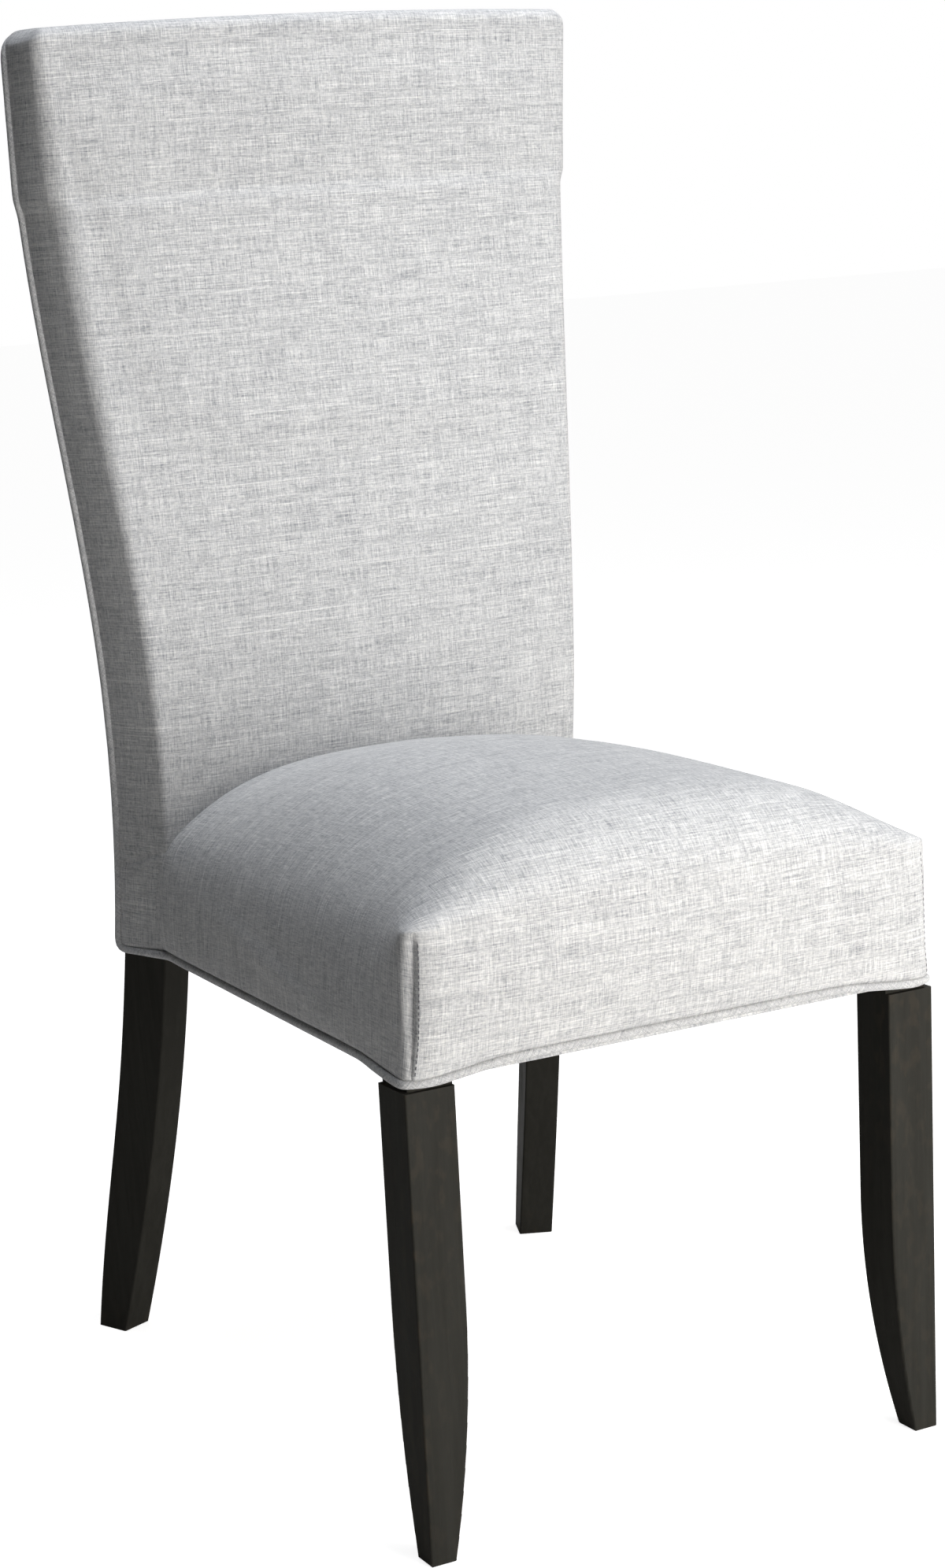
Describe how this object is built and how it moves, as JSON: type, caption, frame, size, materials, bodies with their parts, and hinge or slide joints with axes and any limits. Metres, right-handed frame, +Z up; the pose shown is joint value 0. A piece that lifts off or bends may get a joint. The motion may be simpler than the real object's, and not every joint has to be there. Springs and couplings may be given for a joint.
{
  "type": "side chair",
  "caption": "Upholstered side chair with a high, gently curved back, a crowned seat, piped edges, square tapered front legs and raked rear legs.",
  "frame": {"origin": "on the floor, midway between the sides and midway between front and back of the whole chair", "axes": "+Z up, -Y towards the front of the seat, +X towards the sitter's left"},
  "size_m": [0.4964, 0.605, 1.08],
  "materials": {
    "upholstery": "light grey slubbed linen weave",
    "welt_cloth": "the same linen on the bias round a cord",
    "dark_wood": "espresso stain, satin lacquer",
    "frame_wood": "bare planed hardwood",
    "foam": "cut polyurethane foam",
    "webbing": "woven elastic webbing",
    "dust_cloth": "black non-woven cloth",
    "steel": "zinc plated"
  },
  "bodies": {
    "root": {"back_cover": "upholstery", "back_foam": "foam", "back_rail": "frame_wood", "back_webbing": "webbing", "block_screws": "steel", "corner_block_front_left": "frame_wood", "corner_block_front_right": "frame_wood", "corner_block_rear_left": "frame_wood", "corner_block_rear_right": "frame_wood", "crest_dowels": "frame_wood", "crest_rail": "frame_wood", "dust_cover": "dust_cloth", "front_leg_left": "dark_wood", "front_leg_right": "dark_wood", "front_rail": "frame_wood", "outside_back": "upholstery", "rail_dowels": "frame_wood", "rear_post_left": "dark_wood", "rear_post_right": "dark_wood", "rear_rail": "frame_wood", "seat_cover": "upholstery", "seat_foam": "foam", "seat_webbing_cross": "webbing", "seat_webbing_long": "webbing", "side_rail_left": "frame_wood", "side_rail_right": "frame_wood", "welt": "welt_cloth"}
  },
  "joints": []
}
